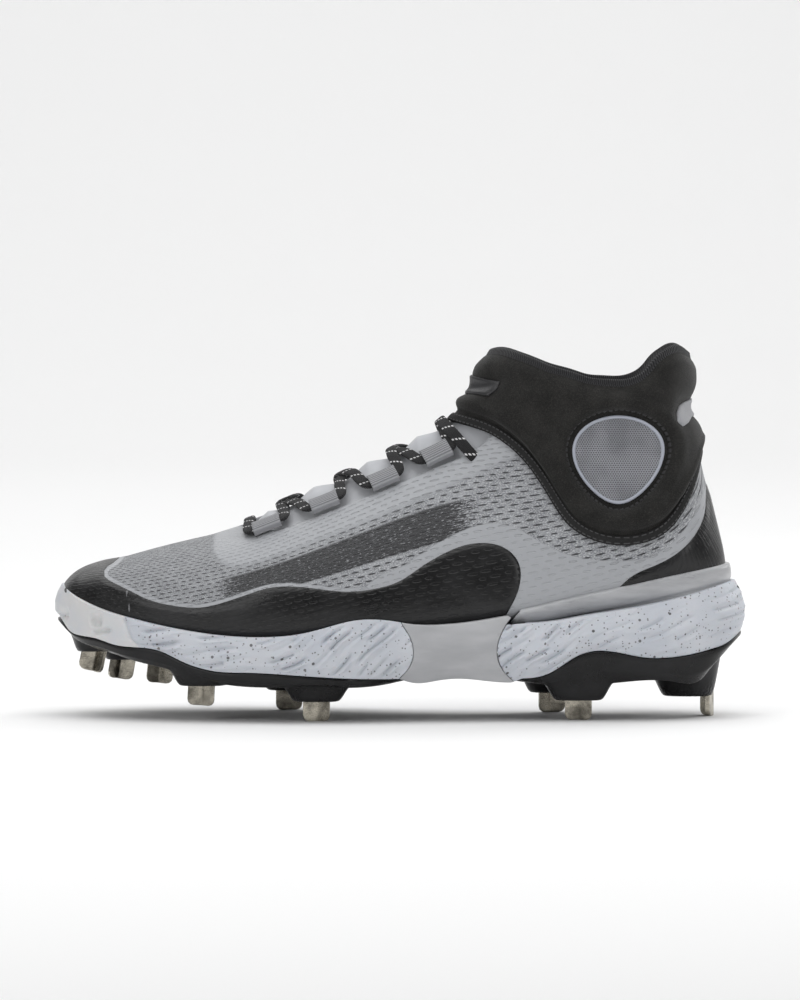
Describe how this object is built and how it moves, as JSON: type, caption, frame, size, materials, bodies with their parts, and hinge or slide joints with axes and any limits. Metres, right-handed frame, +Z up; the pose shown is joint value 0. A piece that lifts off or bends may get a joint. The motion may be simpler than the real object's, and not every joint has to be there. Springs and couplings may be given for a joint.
{
  "type": "baseball cleat",
  "caption": "Mid-cut baseball cleat for the left foot: knit upper, padded ankle cuff with windows, lace loops, moulded midsole and a black plate with metal blades.",
  "frame": {"origin": "on the floor, under the middle of the shoe's bounding box", "axes": "toe towards -X, heel towards +X, outer (lateral) side towards -Y, +Z up"},
  "size_m": [0.3, 0.1066, 0.1585],
  "materials": {
    "knit": "cool grey engineered knit with fused films",
    "film": "black fused film, satin gloss",
    "cuff": "black padded cuff, fine matte grain",
    "mesh": "grey mesh in a moulded rim",
    "foam": "pale grey speckled foam",
    "shank": "plain light grey, satin",
    "rail": "silver grey, satin",
    "plate": "black moulded plastic",
    "steel": "warm nickel finish",
    "webbing": "ribbed grey webbing",
    "lace": "black flat lace with white flecks",
    "sock": "black footbed cloth"
  },
  "bodies": {
    "root": {"upper": "knit", "insole": "sock", "foam_forefoot": "foam", "foam_arch": "shank", "foam_heel": "foam", "heel_rail": "rail", "plate": "plate", "toe_guard": "film", "heel_counter": "film", "collar": "cuff", "window_outer": "mesh", "window_inner": "mesh", "patch_front": "film", "strap_rear": "webbing", "laces": "lace", "tongue": "knit", "spike_1": "steel", "spike_2": "steel", "spike_3": "steel", "spike_4": "steel", "spike_5": "steel", "spike_6": "steel", "spike_7": "steel", "spike_8": "steel", "spike_9": "steel", "loop_outer_1": "webbing", "loop_outer_2": "webbing", "loop_outer_3": "webbing", "loop_outer_4": "webbing", "loop_inner_1": "webbing", "loop_inner_2": "webbing", "loop_inner_3": "webbing", "loop_inner_4": "webbing"}
  },
  "joints": []
}
